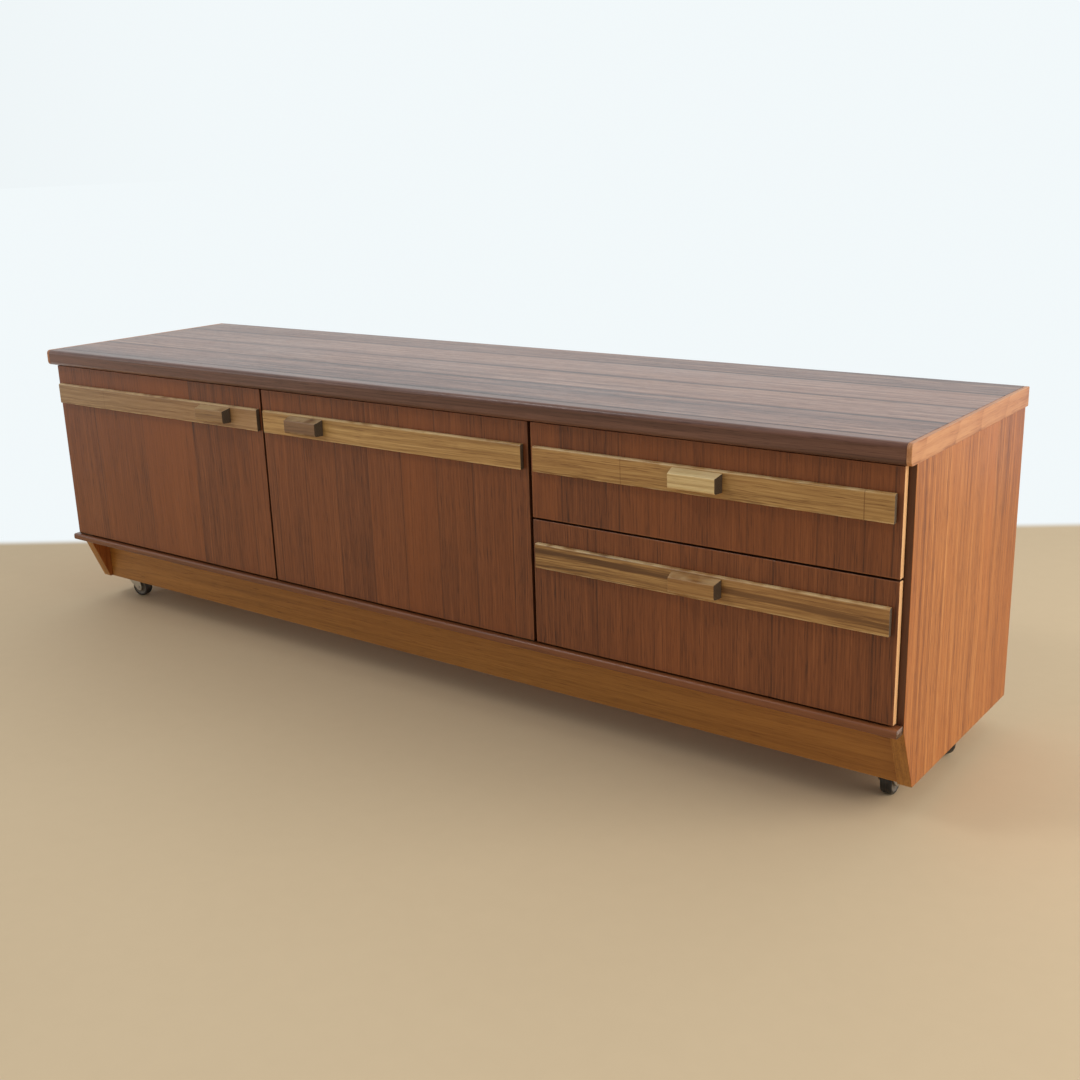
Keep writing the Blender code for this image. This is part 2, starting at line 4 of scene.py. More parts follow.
import bmesh
import bpy
from mathutils import Matrix, Vector


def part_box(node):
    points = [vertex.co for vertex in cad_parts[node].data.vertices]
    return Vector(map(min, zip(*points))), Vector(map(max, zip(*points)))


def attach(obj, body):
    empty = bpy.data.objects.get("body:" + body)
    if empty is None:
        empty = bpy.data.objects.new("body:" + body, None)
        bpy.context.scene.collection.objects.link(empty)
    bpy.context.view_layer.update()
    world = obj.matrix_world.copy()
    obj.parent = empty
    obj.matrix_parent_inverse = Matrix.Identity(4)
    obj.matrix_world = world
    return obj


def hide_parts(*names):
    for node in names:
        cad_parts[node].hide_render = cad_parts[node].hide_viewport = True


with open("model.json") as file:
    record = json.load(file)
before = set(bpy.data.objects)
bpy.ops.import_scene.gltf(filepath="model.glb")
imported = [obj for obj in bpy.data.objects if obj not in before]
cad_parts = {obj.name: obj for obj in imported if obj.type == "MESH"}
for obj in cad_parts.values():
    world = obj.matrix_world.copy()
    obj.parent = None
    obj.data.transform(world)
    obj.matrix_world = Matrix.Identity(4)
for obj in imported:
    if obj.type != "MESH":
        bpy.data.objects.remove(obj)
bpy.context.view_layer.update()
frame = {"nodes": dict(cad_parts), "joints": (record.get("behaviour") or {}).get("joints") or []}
print("frame loaded,", len(frame["nodes"]), "pieces in it")


# one shader socket, wrapped so that sums read as sums
class Wire:
    def __init__(self, shop, socket):
        self.shop = shop
        self.socket = socket

    def __add__(self, other):
        return self.shop.maths("ADD", self, other)

    def __sub__(self, other):
        return self.shop.maths("SUBTRACT", self, other)

    def __rsub__(self, other):
        return self.shop.maths("SUBTRACT", other, self)

    def __mul__(self, other):
        return self.shop.maths("MULTIPLY", self, other)

    def __truediv__(self, other):
        return self.shop.maths("DIVIDE", self, other)

    def __rtruediv__(self, other):
        return self.shop.maths("DIVIDE", other, self)

    def __pow__(self, other):
        return self.shop.maths("POWER", self, other)

    def __rpow__(self, other):
        return self.shop.maths("POWER", other, self)

    __radd__ = __add__
    __rmul__ = __mul__


# one material being made: its shader, and the ways to add nodes to it
class Finish:
    def __init__(self, name, settings):
        self.material = bpy.data.materials.new(name)
        self.material.use_nodes = True
        self.tree = self.material.node_tree
        self.shader = self.tree.nodes["Principled BSDF"]
        for key, value in settings.items():
            self.shader.inputs[key].default_value = value

    def put(self, socket, value):
        if isinstance(value, Wire):
            self.tree.links.new(value.socket, socket)
        else:
            socket.default_value = value

    def node(self, kind, settings=None, values=None, out=0):
        # out picks one output, and None gives them all
        made = self.tree.nodes.new("ShaderNode" + kind)
        for key, value in (settings or {}).items():
            if key == "stops":
                self.setStops(made.color_ramp, value)
            else:
                setattr(made, key, value)
        for key, value in (values or {}).items():
            self.put(made.inputs[key], value)
        if out is None:
            return [Wire(self, socket) for socket in made.outputs]
        return Wire(self, made.outputs[out])

    def setStops(self, ramp, tones):
        # the tones stand at even steps from 0 to 1
        while len(ramp.elements) < len(tones):
            ramp.elements.new(0.5)
        for i, (element, tone) in enumerate(zip(ramp.elements, tones)):
            element.position = i / (len(tones) - 1)
            element.color = (*tone, 1.0)

    def places(self):
        # x, y and z on the object
        return self.node("SeparateXYZ", {}, {0: self.node("TexCoord", out=3)}, None)

    def maths(self, operation, *values):
        return self.node("Math", {"operation": operation}, dict(enumerate(values)))

    def noise(self, x, y, z, detail=2.0, rough=0.5):
        return self.node(
            "TexNoise",
            {"noise_dimensions": "3D"},
            {
                "Vector": self.node("CombineXYZ", {}, {0: x, 1: y, 2: z}),
                "Scale": 1.0,
                "Detail": detail,
                "Roughness": rough,
            },
        )

    def ease(self, value, low, high):
        return self.node(
            "MapRange",
            {"interpolation_type": "SMOOTHSTEP"},
            {"Value": value, "From Min": low, "From Max": high, "To Min": 0.0, "To Max": 1.0},
        )

    def ramp(self, tones, tone):
        return self.node("ValToRGB", {"stops": tones}, {0: tone})

    def mix(self, factor, first, second):
        # first and second are colours: a link, or three numbers
        first, second = [c if isinstance(c, Wire) else (*c, 1.0) for c in (first, second)]
        return self.node(
            "Mix", {"data_type": "RGBA", "blend_type": "MIX"}, {0: factor, 6: first, 7: second}, 2
        )

    def feed(self, key, value):
        self.put(self.shader.inputs[key], value)

    def bump(self, height, strength, distance):
        values = {"Height": height, "Strength": strength, "Distance": distance}
        self.feed("Normal", self.node("Bump", {}, values))


def rgb(red, green, blue):
    # screen values from 0 to 255, as linear light
    def linear(v):
        v = v / 255
        return v / 12.92 if v <= 0.04045 else ((v + 0.055) / 1.055) ** 2.4

    return (linear(red), linear(green), linear(blue))


axisOf = {"X": 0, "Y": 1, "Z": 2}

# tones run from the dark latewood to the pale earlywood
toneSets = {
    "front": [rgb(67, 31, 15), rgb(111, 58, 28), rgb(136, 76, 39), rgb(163, 98, 55)],
    "side": [rgb(112, 56, 22), rgb(158, 90, 38), rgb(182, 112, 54), rgb(204, 138, 76)],
    "top": [rgb(58, 36, 32), rgb(114, 80, 68), rgb(156, 118, 100), rgb(190, 152, 130)],
    "edging": [rgb(54, 34, 28), rgb(90, 60, 50), rgb(120, 84, 70), rgb(152, 112, 90)],
    "moulding": [rgb(72, 38, 20), rgb(112, 66, 38), rgb(136, 84, 50), rgb(160, 104, 66)],
    "plinth": [rgb(112, 68, 22), rgb(158, 103, 40), rgb(186, 128, 56), rgb(204, 148, 76)],
    "lipping": [rgb(136, 78, 42), rgb(178, 118, 76), rgb(204, 148, 102), rgb(222, 172, 128)],
    # the next two are one teak edge: pale as painted light where the window falls, dark as
    # painted shade in the gaps
    "edgePaintedLight": [rgb(190, 130, 80), rgb(220, 164, 110), rgb(236, 186, 132), rgb(244, 204, 156)],
    "edgePaintedShade": [rgb(48, 26, 14), rgb(78, 44, 26), rgb(98, 58, 36), rgb(116, 72, 46)],
    "strip": [rgb(106, 74, 36), rgb(168, 130, 74), rgb(206, 168, 106), rgb(234, 204, 146)],
    # greyer, darker tones for the left door's strip: its haze of sheen painted in
    "stripHazePainted": [rgb(90, 64, 40), rgb(140, 108, 74), rgb(170, 138, 100), rgb(198, 168, 130)],
    "stripDeep": [rgb(84, 52, 24), rgb(152, 110, 60), rgb(200, 158, 98), rgb(236, 204, 146)],
    "handleDark": [rgb(78, 50, 32), rgb(118, 84, 56), rgb(140, 104, 72), rgb(160, 124, 90)],
    "handleMid": [rgb(96, 66, 38), rgb(142, 104, 66), rgb(168, 130, 86), rgb(190, 154, 108)],
    "handleWarm": [rgb(98, 62, 28), rgb(148, 102, 54), rgb(178, 132, 76), rgb(206, 164, 104)],
    "handlePale": [rgb(150, 114, 70), rgb(208, 174, 118), rgb(236, 208, 152), rgb(250, 230, 184)],
    "inside": [rgb(112, 64, 38), rgb(150, 92, 58), rgb(172, 112, 74), rgb(192, 134, 94)],
    "raw": [rgb(168, 132, 92), rgb(200, 166, 122), rgb(218, 188, 146), rgb(232, 206, 170)],
    "hardboard": [rgb(92, 62, 38), rgb(128, 90, 58), rgb(158, 118, 80)],
    "endDark": [rgb(52, 42, 34), rgb(84, 70, 56), rgb(112, 94, 76)],
    "endMid": [rgb(60, 50, 42), rgb(98, 84, 70), rgb(134, 118, 100)],
    "endPale": [rgb(130, 100, 84), rgb(186, 152, 132), rgb(212, 184, 166)],
}

# what any of the woods has unless it says otherwise
plainWood = {
    "seed": 0.0,
    "leaf": 0.0,  # width of one veneer leaf, or 0 for solid wood
    "leafStart": 0.0,
    "leafTone": 0.2,
    "joint": 0.0006,
    "jointDark": 0.6,
    "jointBreak": 0.42,  # the higher, the more the hairline comes and goes
    "wander": 0.02,
    "ripple": 0.002,
    "bands": 1.0,
    "broad": 1.0,
    "lines": 0.9,
    "fibre": 0.5,
    "ring": 0.2,
    "pores": 0.12,
    "dashes": 0.16,
    "flecks": 0.05,
    "hairs": 0.08,
    "warmth": 0.35,
    "rough": (0.34, 0.46),
    "bump": 0.22,
    "bumpDepth": 0.0005,
    "coat": 0.0,
    "coatRough": 0.25,
    "marks": (),
    "vein": None,
    # arrises painted paler as a painted highlight, or None for none
    "worn": None,
}
# how the growth rings meet the face: lengths in metres, tilt as rise over run
plainFigure = {"tilt": 0.05, "depth": 0.04, "heart": 0.0, "spacing": 0.0055}
# waves per metre along, across and into the wood
waves = {
    "bend": (1.3, 2.4, 2.4),
    "ripple": (7.0, 9.0, 9.0),
    "broad": (0.8, 13.0, 13.0),
    "lines": (1.6, 120.0, 60.0),
    "fibre": (14.0, 620.0, 620.0),
    "hairs": (2.2, 420.0, 420.0),
    "pores": (70.0, 1500.0, 1500.0),
    "dashes": (34.0, 700.0, 700.0),
    "warm": (1.1, 5.0, 5.0),
    "smear": (3.0, 5.0, 5.0),
    "flecks": (24.0, 260.0, 0.0),
    "patchy": (2.0, 40.0, 0.0),
}
# where each layer starts to show and where it shows in full
shows = {
    "hairs": (0.56, 0.72),
    "pores": (0.60, 0.74),
    "dashes": (0.56, 0.70),
    "flecks": (0.66, 0.78),
    "patchy": (0.35, 0.65),
    "warm": (0.35, 0.70),
    "blotch": (0.35, 0.60),
}
# how far each leaf is cut from the last, in metres, and how its joint breaks up and fades out
leafCut = {
    "across": 3.7, "along": 1.3, "breakAlong": 5.0, "breakLeaf": 3.1, "breakSoft": 0.2,
    "outer": 2.2, "inner": 0.6,
}
ringLook = {"bend": 0.03, "ripple": 1.1, "sway": 1.5, "sharpness": 3.0}
toolMark = {"bend": 0.002, "core": 0.0002, "edge": 0.0009}
blotchWaves = 34.0  # per metre, in the painted highlight along the arrises
relief = {"fibre": 0.5, "pores": 1.0, "ring": 0.35, "flecks": 0.3}
shine = {"pores": 0.10, "ring": 0.02}


def makeWood(name, toneName, grain, across, **changes):
    # grain runs along one axis, and the leaves lie side by side along the other
    look = {**plainWood, **changes}
    figure = {**plainFigure, **look.get("figure", {})}
    tones, seed = toneSets[toneName], look["seed"]
    shop = Finish(
        name,
        {
            "IOR": 1.5,
            "Specular IOR Level": 0.5,
            "Coat Weight": look["coat"],
            "Coat Roughness": look["coatRough"],
        },
    )
    places = shop.places()
    along, face = places[axisOf[grain]], places[axisOf[across]]
    deep = places[3 - axisOf[grain] - axisOf[across]]
    wide, leafTone, joint = face, 0.0, 0.0
    if look["leaf"]:
        share = (face + look["leafStart"]) / look["leaf"]
        count = shop.maths("FLOOR", share)
        toss = shop.node("TexWhiteNoise", {"noise_dimensions": "1D"}, {"W": count + seed})
        leafTone = (toss - 0.5) * look["leafTone"]
        wide = face + toss * leafCut["across"]
        along = along + toss * leafCut["along"]
        # the hairline where two leaves meet
        half = look["joint"] / look["leaf"]
        edge = shop.maths("ABSOLUTE", shop.maths("FRACT", share) - 0.5)
        joint = shop.ease(edge, 0.5 - leafCut["outer"] * half, 0.5 - leafCut["inner"] * half)
        gap = look["jointBreak"]
        broken = shop.noise(along * leafCut["breakAlong"], count * leafCut["breakLeaf"], seed)
        joint = joint * shop.ease(broken, gap, gap + leafCut["breakSoft"])

    def layer(kind, sideways, detail=2.0, rough=0.5, bands=1.0, shift=0.0):
        a, b, c = waves[kind]
        return shop.noise(
            along * a, sideways * (b * bands), deep * c + (seed + shift), detail, rough
        )

    bend = layer("bend", wide) - 0.5
    ripple = layer("ripple", wide) - 0.5
    side = wide + bend * look["wander"] + ripple * look["ripple"]
    broad = layer("broad", side, 3.0, 0.6, look["bands"])
    lines = layer("lines", side, 2.0, 0.6, look["bands"])
    fibre = layer("fibre", side, 2.0, 0.6)
    hairs = shop.ease(layer("hairs", side, shift=7.0), *shows["hairs"])
    pores = shop.ease(layer("pores", side, 1.0), *shows["pores"])
    dashes = shop.ease(layer("dashes", side, 1.0), *shows["dashes"])
    flecks = shop.ease(layer("flecks", side, 1.0, shift=9.0), *shows["flecks"])
    # growth rings cut by the face: arches where the cut runs near the heart
    below = along * figure["tilt"] + deep + bend * ringLook["bend"] + figure["depth"]
    reach = side - figure["heart"]
    radius = shop.maths("SQRT", reach * reach + below * below)
    phase = radius / figure["spacing"] + ripple * ringLook["ripple"] + bend * ringLook["sway"]
    patchy = shop.ease(layer("patchy", side, shift=5.0), *shows["patchy"])
    ring = shop.maths("FRACT", phase) ** ringLook["sharpness"] * patchy
    tone = (
        0.5
        + (broad - 0.5) * look["broad"]
        + (lines - 0.5) * look["lines"]
        + (fibre - 0.5) * look["fibre"]
        - ring * look["ring"]
        - pores * look["pores"]
        - dashes * look["dashes"]
        - flecks * look["flecks"]
        + hairs * look["hairs"]
        + leafTone
    )
    vein = look["vein"]
    if vein:
        # a darker streak that drifts across the face
        run = face - vein["at"] - along * vein["slope"] + bend * vein["sway"]
        off = shop.maths("ABSOLUTE", run)
        tone = tone - (1.0 - shop.ease(off, vein["width"] * 0.3, vein["width"])) * vein["depth"]
    for place, dark in look["marks"]:
        # thin tool marks straight across the grain
        off = shop.maths("ABSOLUTE", along - place + ripple * toolMark["bend"])
        tone = tone - (1.0 - shop.ease(off, toolMark["core"], toolMark["edge"])) * dark
    colour = shop.ramp(tones, tone)
    if look["leaf"]:
        colour = shop.mix(joint * look["jointDark"], colour, tones[0])
    warm = shop.ease(layer("warm", side, shift=3.0), *shows["warm"])
    colour = shop.mix(warm * look["warmth"], colour, look.get("warmTone", tones[-2]))
    worn = look["worn"]
    if worn:
        # arrises painted paler: a painted highlight along the edges
        colour = shop.mix(wornEdge(shop, places, worn) * worn["amount"], colour, worn["tone"])
    shop.feed("Base Color", colour)
    low, high = look["rough"]
    smear = layer("smear", wide, 3.0)
    dull = pores * shine["pores"] - ring * shine["ring"]
    shop.feed("Roughness", low + (high - low) * smear + dull)
    height = (
        fibre * relief["fibre"]
        - pores * relief["pores"]
        - ring * relief["ring"]
        - flecks * relief["flecks"]
        - joint
    )
    shop.bump(height, look["bump"], look["bumpDepth"])
    return shop.material


def wornEdge(shop, places, worn):
    # 1 on the outer arrises of the box, 0 inside it, and blotchy in between: where the painted
    # edge highlight goes
    nearest = None
    for axis in worn["axes"]:
        low, high = worn["low"][axis], worn["high"][axis]
        gap = shop.maths("MINIMUM", places[axis] - low, high - places[axis])
        nearest = gap if nearest is None else shop.maths("MINIMUM", nearest, gap)
    blotch = shop.ease(shop.noise(*[place * blotchWaves for place in places]), *shows["blotch"])
    return (1.0 - shop.ease(nearest, 0.0, worn["width"])) * blotch


# sawn ends: rings round a heart that lies outside the piece, and open pores as dots
endLook = {
    "heart": 0.02, "flatten": 0.3, "spacing": 0.0021, "swayWaves": 60.0, "sway": 1.6,
    "dotWaves": 1700.0, "sharpness": 2.0,
}


def endGrain(name, toneName, across, rough=0.5):
    # across names the two axes of the end's face
    shop = Finish(name, {"IOR": 1.45, "Specular IOR Level": 0.4})
    places = shop.places()
    a, b = [places[axisOf[key]] for key in across]
    sway = shop.noise(a * endLook["swayWaves"], b * endLook["swayWaves"], 2.0) - 0.5
    reach = a + endLook["heart"]
    radius = shop.maths("SQRT", reach * reach + b * b * endLook["flatten"])
    phase = radius / endLook["spacing"] + sway * endLook["sway"]
    ring = shop.maths("FRACT", phase) ** endLook["sharpness"]
    dots = shop.noise(a * endLook["dotWaves"], b * endLook["dotWaves"], 1.0, 1.0)
    tone = 0.55 - ring * 0.35 + (dots - 0.5) * 0.9 + sway * 0.5
    shop.feed("Base Color", shop.ramp(toneSets[toneName], tone))
    shop.feed("Roughness", rough + (dots - 0.5) * 0.2)
    shop.bump(dots - ring * 0.6, 0.3, 0.0004)
    return shop.material


# mesh helpers: each works in the object's own place, at full size
def blockMesh(low, high):
    bm = bmesh.new()
    bmesh.ops.create_cube(bm, size=1.0)
    bmesh.ops.scale(bm, verts=bm.verts, vec=high - low)
    bmesh.ops.translate(bm, verts=bm.verts, vec=(high + low) / 2)
    return bm


def longEdges(bm, axis, **where):
    # edges that run along an axis, picked by where their middle lies: y=("<", value) and so on
    def inside(middle, key, sign, value):
        place = middle[axisOf[key.upper()]]
        return place < value if sign == "<" else place > value

    found = []
    for edge in bm.edges:
        line = edge.verts[1].co - edge.verts[0].co
        middle = (edge.verts[0].co + edge.verts[1].co) / 2
        straight = abs(line[axisOf[axis]]) >= 0.9 * line.length
        if straight and all(inside(middle, key, *rule) for key, rule in where.items()):
            found.append(edge)
    return found


def sharpEdges(bm, angle=30.0):
    return [
        edge
        for edge in bm.edges
        if len(edge.link_faces) == 2 and edge.calc_face_angle(0.0) > math.radians(angle)
    ]


def soften(bm, edges, width, segments=3):
    bmesh.ops.bevel(
        bm,
        geom=list(edges),
        offset=width,
        offset_type="OFFSET",
        segments=segments,
        profile=0.5,
        affect="EDGES",
        clamp_overlap=True,
        material=-1,
    )


def endsApart(face):
    # the second material goes on the two ends of a piece that lies along X
    return 1 if abs(face.normal.x) > 0.7 else 0


def finishPiece(name, bm, materials, body, nodes, pick=None):
    bmesh.ops.recalc_face_normals(bm, faces=bm.faces)
    for face in bm.faces:
        face.smooth = True
        if pick:
            face.material_index = pick(face)
    mesh = bpy.data.meshes.new(name)
    bm.to_mesh(mesh)
    bm.free()
    for material in materials:
        mesh.materials.append(material)
    piece = bpy.data.objects.new(name, mesh)
    bpy.context.scene.collection.objects.link(piece)
    even = piece.modifiers.new("even shading", "WEIGHTED_NORMAL")
    even.keep_sharp = True
    even.weight = 50
    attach(piece, body)
    if nodes:
        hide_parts(*nodes)


def boxOf(node):
    low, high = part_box(node)
    return Vector(low), Vector(high)


# top: veneered board, dark round-nosed edging at the front, pale lipping at both ends
topSizes = {
    "arris": 0.0006,
    "arrisSteps": 2,
    "noseRound": 0.006,
    "noseSteps": 8,
    "lippingArris": 0.0009,
}
topVeneer = makeWood(
    "topTeakVeneer", "top", "X", "Y",
    leaf=0.094, leafStart=0.162, leafTone=0.12, joint=0.0030, jointDark=1.0, jointBreak=0.18,
    broad=0.45, lines=1.0, fibre=1.1, ring=0.30, dashes=0.36, hairs=0.20,
    wander=0.018, seed=2.3, rough=(0.27, 0.42), warmTone=rgb(152, 106, 86), warmth=0.3,
    figure={"tilt": 0.02, "depth": 0.03, "spacing": 0.007},
)
edgingTeak = makeWood(
    "edgingTeak", "edging", "X", "Z",
    broad=1.2, lines=1.1, ring=0.35, dashes=0.25, hairs=0.2, wander=0.012, seed=4.1,
    rough=(0.30, 0.42), bump=0.15, coat=0.04, coatRough=0.12,
    warmTone=rgb(134, 82, 58), warmth=0.45,
    figure={"tilt": 0.015, "depth": 0.02, "spacing": 0.004},
)
lippingTeak = makeWood(
    "lippingTeak", "lipping", "Y", "Z",
    broad=0.8, ring=0.60, dashes=0.25, wander=0.03, ripple=0.006, seed=7.7,
    rough=(0.36, 0.48), warmTone=rgb(186, 118, 70), warmth=0.4,
    figure={"tilt": 0.03, "depth": 0.012, "heart": 0.4396, "spacing": 0.0026},
)

low, high = boxOf("top_panel")
bm = blockMesh(low, high)
soften(bm, bm.edges, topSizes["arris"], topSizes["arrisSteps"])
finishPiece("topBoard", bm, [topVeneer], "case", ["top_panel"])

low, high = boxOf("top_front_edging")
bm = blockMesh(low, high)
nose = longEdges(bm, "X", y=("<", (low.y + high.y) / 2))
soften(bm, nose, topSizes["noseRound"], topSizes["noseSteps"])
finishPiece("topFrontEdging", bm, [edgingTeak], "case", ["top_front_edging"])

for side in ("left", "right"):
    node = "top_end_lipping_" + side
    bm = blockMesh(*boxOf(node))
    nose = longEdges(bm, "X", y=("<", 0.0))
    soften(bm, nose, topSizes["noseRound"], topSizes["noseSteps"])
    soften(bm, sharpEdges(bm), topSizes["lippingArris"])
    finishPiece("topEndLipping_" + side, bm, [lippingTeak], "case", [node])
print("top made")


# case: side panels with the slanted foot, plinth and moulding
caseSizes = {
    "slantRun": 0.0341,
    "slantRise": 0.082,
    "arris": 0.0010,
    "mouldingRound": 0.0030,
    "mouldingSteps": 6,
}
sideVeneer = makeWood(
    "sideTeakVeneer", "side", "Z", "Y",
    leaf=0.152, leafStart=0.06, leafTone=0.10, jointDark=0.2,
    broad=0.7, lines=1.3, fibre=1.1, ring=0.16, pores=0.16, dashes=0.34, hairs=0.20,
    wander=0.030, seed=11.0, rough=(0.36, 0.48), warmTone=rgb(178, 98, 38), warmth=0.45,
    figure={"tilt": 0.10, "depth": 0.01, "spacing": 0.009},
)
# one teak edge in two copies: dark on the upright edge as painted shade, golden on the foot's
# slant as painted bounce light from the floor
sideEdgePaintedShade = makeWood(
    "sideEdgeTeak", "edgePaintedShade", "Z", "X", broad=0.8, lines=0.7, seed=12.5, rough=(0.38, 0.5)
)
footEdgePaintedBounce = makeWood(
    "footEdgeTeak", "plinth", "Z", "X",
    broad=0.8, lines=0.7, seed=13.5, rough=(0.38, 0.5), warmth=0.2,
)
plinthTeak = makeWood(
    "plinthTeak", "plinth", "X", "Z",
    broad=0.8, lines=0.6, ring=0.16, pores=0.2, flecks=0.30, wander=0.02, seed=15.0,
    warmTone=rgb(176, 108, 40), figure={"tilt": 0.03, "depth": 0.05, "spacing": 0.008},
)
mouldingTeak = makeWood(
    "mouldingTeak", "moulding", "X", "Z",
    lines=0.8, wander=0.006, seed=17.0, rough=(0.30, 0.42),
    warmTone=rgb(140, 78, 42), warmth=0.4,
)
mouldingEnd = endGrain("mouldingEndGrain", "endPale", "YZ")


def sideFace(face):
    # broad faces; upright edges darkened as painted shade; the slanted and lower edges of the
    # foot in golden tones as painted light from the floor
    if abs(face.normal.x) > 0.5:
        return 0
    return 2 if face.normal.z < -0.15 else 1


for side in ("left", "right"):
    node = "side_panel_" + side
    low, high = boxOf(node)
    bm = blockMesh(low, high)
    foot = Vector((0.0, low.y + caseSizes["slantRun"], low.z))
    knee = Vector((0.0, low.y, low.z + caseSizes["slantRise"]))
    slope = knee - foot
    bmesh.ops.bisect_plane(
        bm,
        geom=bm.verts[:] + bm.edges[:] + bm.faces[:],
        dist=1e-6,
        plane_co=foot,
        plane_no=Vector((0.0, -slope.z, slope.y)),
        clear_outer=True,
    )
    bmesh.ops.holes_fill(bm, edges=[edge for edge in bm.edges if edge.is_boundary], sides=0)
    soften(bm, sharpEdges(bm, 10.0), caseSizes["arris"])
    woods = [sideVeneer, sideEdgePaintedShade, footEdgePaintedBounce]
    finishPiece("sidePanel_" + side, bm, woods, "case", [node], sideFace)

# the plinth stands upright, back between the slanted feet
bm = blockMesh(*boxOf("front_plinth"))
soften(bm, bm.edges, caseSizes["arris"])
finishPiece("frontPlinth", bm, [plinthTeak], "case", ["front_plinth"])

low, high = boxOf("bottom_moulding")
bm = blockMesh(low, high)
nose = longEdges(bm, "X", y=("<", (low.y + high.y) / 2))
soften(bm, nose, caseSizes["mouldingRound"], caseSizes["mouldingSteps"])
woods = [mouldingTeak, mouldingEnd]
finishPiece(
    "bottomMoulding", bm, woods, "case", ["bottom_moulding"],
    lambda face: 1 if abs(face.normal.x) > 0.9 else 0,
)
print("case made")


# fronts: upright leaves of teak on a thin board, with a strip and a handle block on each
fronts = {
    "left_door": {
        "node": "left_door_panel",
        "leaf": 0.126, "leafStart": 0.03, "seed": 21.0, "paintedLitEdge": False,
        "stripTones": "stripHazePainted", "stripSeed": 31.0,
        "strip": {"ring": 0.25, "marks": [(-0.62, 0.2)]},
        "handleTones": "handleMid", "handleSeed": 41.0,
    },
    "middle_door": {
        "node": "middle_door_panel",
        "leaf": 0.0639, "leafStart": 0.0312, "seed": 22.7, "paintedLitEdge": False,
        "stripTones": "strip", "stripSeed": 33.0,
        "strip": {"ring": 0.30, "dashes": 0.2},
        "handleTones": "handleDark", "handleSeed": 43.0,
    },
    "upper_drawer": {
        "node": "upper_drawer_front",
        "leaf": 0.0871, "leafStart": -0.4787, "seed": 24.2, "paintedLitEdge": True,
        "stripTones": "strip", "stripSeed": 35.0,
        "strip": {"ring": 0.35, "dashes": 0.3, "marks": [(0.398, 0.35), (0.709, 0.45)]},
        "handleTones": "handlePale", "handleSeed": 45.0,
    },
    "lower_drawer": {
        "node": "lower_drawer_front",
        "leaf": 0.122, "leafStart": 0.01, "seed": 26.1, "paintedLitEdge": True,
        "stripTones": "stripDeep", "stripSeed": 37.0,
        "strip": {
            "ring": 0.45,
            "vein": {"at": 0.2652, "slope": -0.024, "width": 0.0052, "depth": 0.42, "sway": 0.03},
        },
        "handleTones": "handleWarm", "handleSeed": 47.0,
    },
}
frontSizes = {"arris": 0.0008, "wornWidth": 0.0022}
stripSizes = {
    "topBevel": 0.0025,
    "topSteps": 4,
    "footBevel": 0.0012,
    "arris": 0.0005,
    "arrisSteps": 2,
    "wornWidth": 0.0024,
}
handleSizes = {
    "taper": 0.0025,  # how much narrower the grip is than its root, at each end
    "fall": 0.0042,  # how far the top slopes down to the front
    "footBevel": 0.0034,
    "footSteps": 5,
    "arris": 0.0009,
    "arrisSteps": 4,
    "wornWidth": 0.0012,
    "wornBelow": 0.0034,  # the painted highlight line along the top, below the root's upper edge
    "wornAbove": 0.002,
}
edgeReach = 0.001  # edges this near a face's plane belong to it

# pale edge tones: painted light on the drawers' right ends; dark edge tones: painted shade on the
# edges in the gaps
edgePaintedLight = makeWood(
    "frontEdgePaintedLight", "edgePaintedLight", "Z", "Y",
    broad=0.8, lines=0.6, seed=19.0, rough=(0.40, 0.52), warmth=0.2,
)
edgePaintedShade = makeWood(
    "frontEdgePaintedShade", "edgePaintedShade", "Z", "Y",
    broad=0.8, lines=0.6, seed=20.0, rough=(0.42, 0.54), warmth=0.3,
)
darkEnd = endGrain("oiledEndGrain", "endDark", "YZ", 0.42)
# end grain of the strips, lightened to grey-brown as painted light of the lit end arris
stripEnd = endGrain("stripEndGrain", "endMid", "YZ", 0.36)


def makeFront(name, plan):
    low, high = boxOf(plan["node"])
    veneer = makeWood(
        name + "_teakVeneer", "front", "Z", "X",
        leaf=plan["leaf"], leafStart=plan["leafStart"], leafTone=0.08,
        joint=0.0007, jointDark=0.75, jointBreak=0.30,
        broad=0.34, lines=0.60, fibre=1.0, ring=0.14, dashes=0.28, hairs=0.18,
        seed=plan["seed"], rough=(0.33, 0.45), warmTone=rgb(156, 84, 34), warmth=0.45,
        figure={"tilt": 0.07, "depth": 0.012, "spacing": 0.006},
        # paler arrises all round the front: painted highlight
        worn={
            "axes": (0, 2), "low": low, "high": high,
            "width": frontSizes["wornWidth"], "amount": 0.5, "tone": rgb(164, 104, 62),
        },
    )

    def frontFace(face):
        # the veneered faces; a pale band at the drawers' right ends as painted light, and dark
        # edges elsewhere as painted shade
        if abs(face.normal.y) > 0.35:
            return 0
        return 1 if face.normal.x > 0.5 and plan["paintedLitEdge"] else 2

    bm = blockMesh(low, high)
    soften(bm, bm.edges, frontSizes["arris"])
    woods = [veneer, edgePaintedLight, edgePaintedShade]
    finishPiece(name + "_front", bm, woods, name, [plan["node"]], frontFace)


